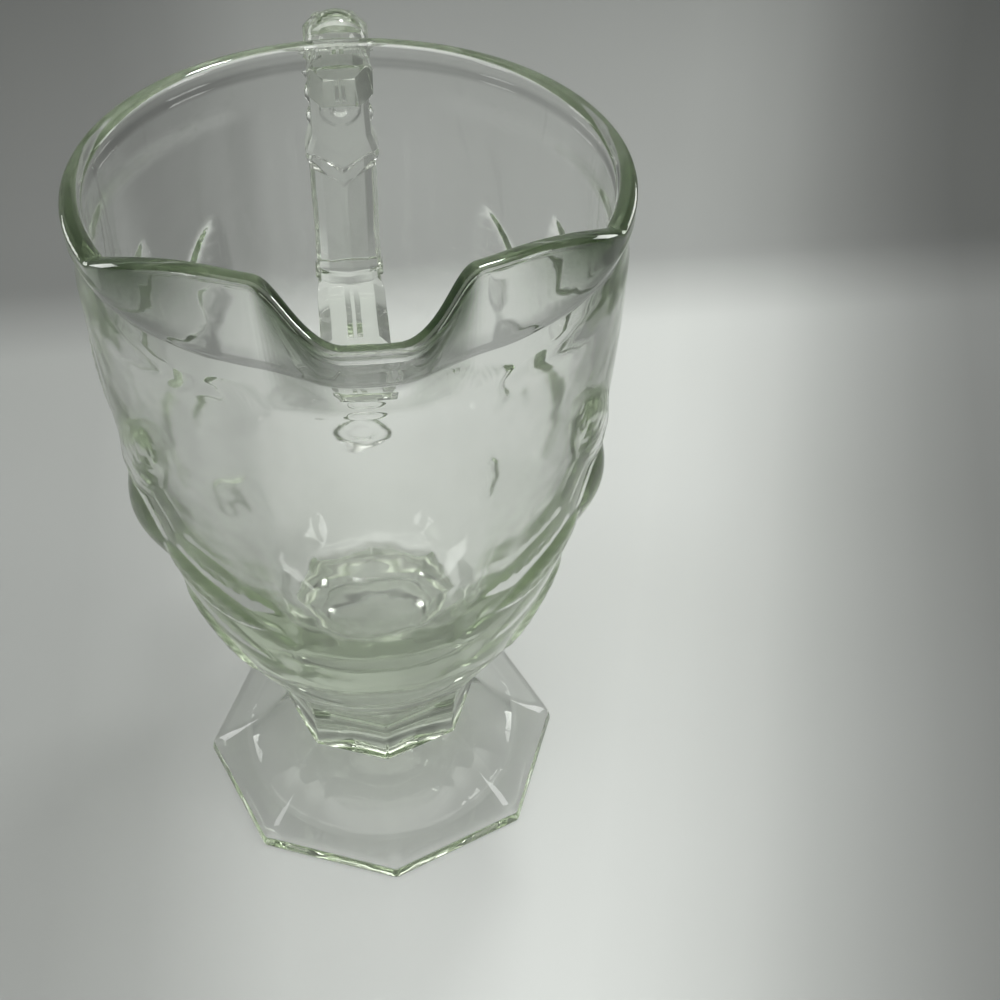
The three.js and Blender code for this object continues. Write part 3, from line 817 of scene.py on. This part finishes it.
print("cloth faces up:", sweep_mesh.polygons[0].normal.z > 0)

# %% [markdown]
# ## Tone of the cloth, with a painted pool of light
#
# In the photograph the cloth is brightest in a broad pool of light to the right of the jug, and falls off to the
# left, to the far right and up its rise. That pool of light and its fall into shade are painted into the cloth's
# colour. Woven cotton has no shine, so these painted tones are most of what the eye sees of it. Each fall is a
# grey ramp over a place on the cloth, and the ramps are multiplied over soft folds in a very pale, slightly green
# white.
# Their stops are in millimetres along the ramp's own line.
#
# Real glass passes on most of the light that falls on it. The renderer finds those bent paths only by chance, so
# the cloth under the foot comes out too dark. For that reason a third of the cloth's tone is even, where the
# camera, a reflection or a ray through glass sees it. The rest is lit by the lamps and keeps the jug's shadow.

# %% Tone of the cloth, with a painted pool of light and shade
def greys(tones, low, high):
    """A ramp's stops from pairs of a place in millimetres and a grey tone. Each place becomes its share of the
    way from low to high: (place - low) / (high - low)."""
    return [((place - low) / (high - low), (tone, tone, tone, 1)) for place, tone in tones]


cloth, tree = new_material("white_cotton_cloth")
place = node(tree, "ShaderNodeTexCoord", {})
soft_folds = node(tree, "ShaderNodeTexNoise", {"Vector": place.outputs["Object"], "Scale": 7.0, "Detail": 2.0})
shade_stops = [(0.3, linear("eff3ee")), (0.7, linear("fafefa"))]
shade = node(tree, "ShaderNodeValToRGB", {0: soft_folds.outputs[0]}, stops=shade_stops)
pool_line = (1.0, -0.3, 0.0)  # the pool fades along x - 0.3 y
band = node(tree, "ShaderNodeVectorMath", {0: place.outputs["Object"], 1: pool_line}, operation="DOT_PRODUCT")
across_band = node(tree, "ShaderNodeMapRange", {0: band.outputs["Value"], 1: -0.16, 2: 0.16})
# painted light: the pool of light is brightest beside the jug and fades to the right across this band
band_tones = [
    (0, 0.66), (50, 0.67), (62, 0.63), (78, 0.54), (91, 0.42), (104, 0.33), (117, 0.26), (130, 0.21), (160, 0.18),
]
lit_band = node(tree, "ShaderNodeValToRGB", {0: across_band.outputs[0]}, stops=greys(band_tones, -160, 160))
spot = node(tree, "ShaderNodeSeparateXYZ", {0: place.outputs["Object"]})
across_left = node(tree, "ShaderNodeMapRange", {0: spot.outputs[0], 1: -0.1, 2: 0.0})
# painted shade: the pool of light fades to the left of the jug
painted_left_falloff_tones = [(-100, 0.56), (-62, 0.6), (-45, 0.68), (-20, 0.95), (0, 1.0)]
painted_left_falloff = node(tree, "ShaderNodeValToRGB", {0: across_left.outputs[0]}, stops=greys(painted_left_falloff_tones, -100, 0))
# painted shade: the cloth darkens where it rises behind the jug
painted_rise_shade_tones = [(120, 1.0), (150, 0.53)]
painted_rise_shade = node(tree, "ShaderNodeValToRGB", {0: spot.outputs[1]}, stops=greys(painted_rise_shade_tones, 0, 1000))
# higher up, the painted shade on the rise lightens again
high = node(tree, "ShaderNodeMapRange", {0: spot.outputs[2], 1: 0.06, 2: 0.22, 3: 1.0, 4: 1.7})
painted_rise_shade = node(tree, "ShaderNodeVectorMath", {0: painted_rise_shade.outputs[0], 1: high.outputs[0]}, operation="MULTIPLY")
# the painted pool of light and its painted shade are multiplied over the folds' tone
layers = (lit_band, painted_rise_shade, painted_left_falloff)
tone_with_painted_light = shade.outputs[0]
for layer in layers:
    sockets = {0: 1.0, 6: tone_with_painted_light, 7: layer.outputs[0]}
    tone_with_painted_light = node(tree, "ShaderNodeMix", sockets, data_type="RGBA", blend_type="MULTIPLY").outputs[2]
print("layers of tone over the folds:", len(layers))

# %% Cloth as the lamps and the camera see it
even_part = 0.34
woven = node(
    tree, "ShaderNodeBsdfPrincipled", {"Base Color": tone_with_painted_light, "Roughness": 0.95, "Specular IOR Level": 0.1}
)
path = node(tree, "ShaderNodeLightPath", {})
seen = path.outputs["Is Camera Ray"]
for ray in ("Is Glossy Ray", "Is Transmission Ray"):
    seen = node(tree, "ShaderNodeMath", {0: seen, 1: path.outputs[ray]}, operation="MAXIMUM").outputs[0]
even_share = node(tree, "ShaderNodeMath", {0: seen, 1: even_part}, operation="MULTIPLY")
even_tone = node(tree, "ShaderNodeEmission", {"Color": tone_with_painted_light, "Strength": 1.0})
sockets = {0: even_share.outputs[0], 1: woven.outputs[0], 2: even_tone.outputs[0]}
shown = node(tree, "ShaderNodeMixShader", sockets)
side = node(tree, "ShaderNodeNewGeometry", {})
gone = node(tree, "ShaderNodeBsdfTransparent", {})
sockets = {0: side.outputs["Backfacing"], 1: shown.outputs[0], 2: gone.outputs[0]}
one_sided = node(tree, "ShaderNodeMixShader", sockets)
node(tree, "ShaderNodeOutputMaterial", {"Surface": one_sided.outputs[0]})
sweep_mesh.materials.append(cloth)
print("nodes in the cloth:", len(tree.nodes))

# %% [markdown]
# ## Light
#
# The photograph was lit from above by a broad soft light, in a room that is darker round the sides. Glass shows
# its surroundings and little else, so those darker sides draw its dark edges. The world is a gradient: dim at
# the horizon, darkest halfway up and bright overhead. A softbox above and behind gives the jug its soft shadow
# and highlights. Four small softboxes stand where the foot's ridges mirror them to the camera, two behind and
# two in front, and draw the bright streaks on those ridges. The camera does not see the lamps themselves.

# %% Light
world = bpy.data.worlds.new("soft_studio")
bpy.context.scene.world = world
world.use_nodes = True
tree = world.node_tree
tree.nodes.clear()
direction = node(tree, "ShaderNodeTexCoord", {})
upward = node(tree, "ShaderNodeSeparateXYZ", {0: direction.outputs["Generated"]})
sky_tones = [(0.0, 0.45), (0.25, 0.26), (0.6, 0.2), (0.78, 0.6), (0.88, 2.2)]
warmth = 0.98  # a trace less blue
sky_stops = [(height, (tone, tone, warmth * tone, 1)) for height, tone in sky_tones]
sky = node(tree, "ShaderNodeValToRGB", {0: upward.outputs[2]}, stops=sky_stops)
background = node(tree, "ShaderNodeBackground", {"Color": sky.outputs[0], "Strength": 1.0})
node(tree, "ShaderNodeOutputWorld", {"Surface": background.outputs[0]})
print("sky from", sky_tones[0][1], "at the horizon to", sky_tones[-1][1], "overhead")

# %% Lamps
def softbox(name, place, aim, size, energy):
    """A rectangular lamp at a place, with its -Z turned to aim; both in metres, and its energy in watts."""
    data = bpy.data.lights.new(name, "AREA")
    data.shape, (data.size, data.size_y), data.energy = "RECTANGLE", size, energy
    lamp = bpy.data.objects.new(name, data)
    lamp.location = place
    lamp.rotation_euler = (Vector(aim) - Vector(place)).to_track_quat("-Z", "Y").to_euler()
    lamp.visible_camera = False
    bpy.context.scene.collection.objects.link(lamp)
    return lamp


foot_middle = (0.0, axis_y / 1000, 0.01)
lamps = [
    softbox("overhead_softbox", (0.15, 0.165, 0.6), foot_middle, (0.08, 0.06), 1.2),
    softbox("right_back", (0.29, 0.185, 0.09), foot_middle, (0.11, 0.11), 0.16),
    softbox("left_back", (-0.29, 0.185, 0.09), foot_middle, (0.11, 0.11), 0.15),
    softbox("right_front", (0.36, -0.12, 0.27), foot_middle, (0.13, 0.13), 0.28),
    softbox("left_front", (-0.36, -0.12, 0.27), foot_middle, (0.1, 0.1), 0.12),
]
print("lamps:", [lamp.name for lamp in lamps])
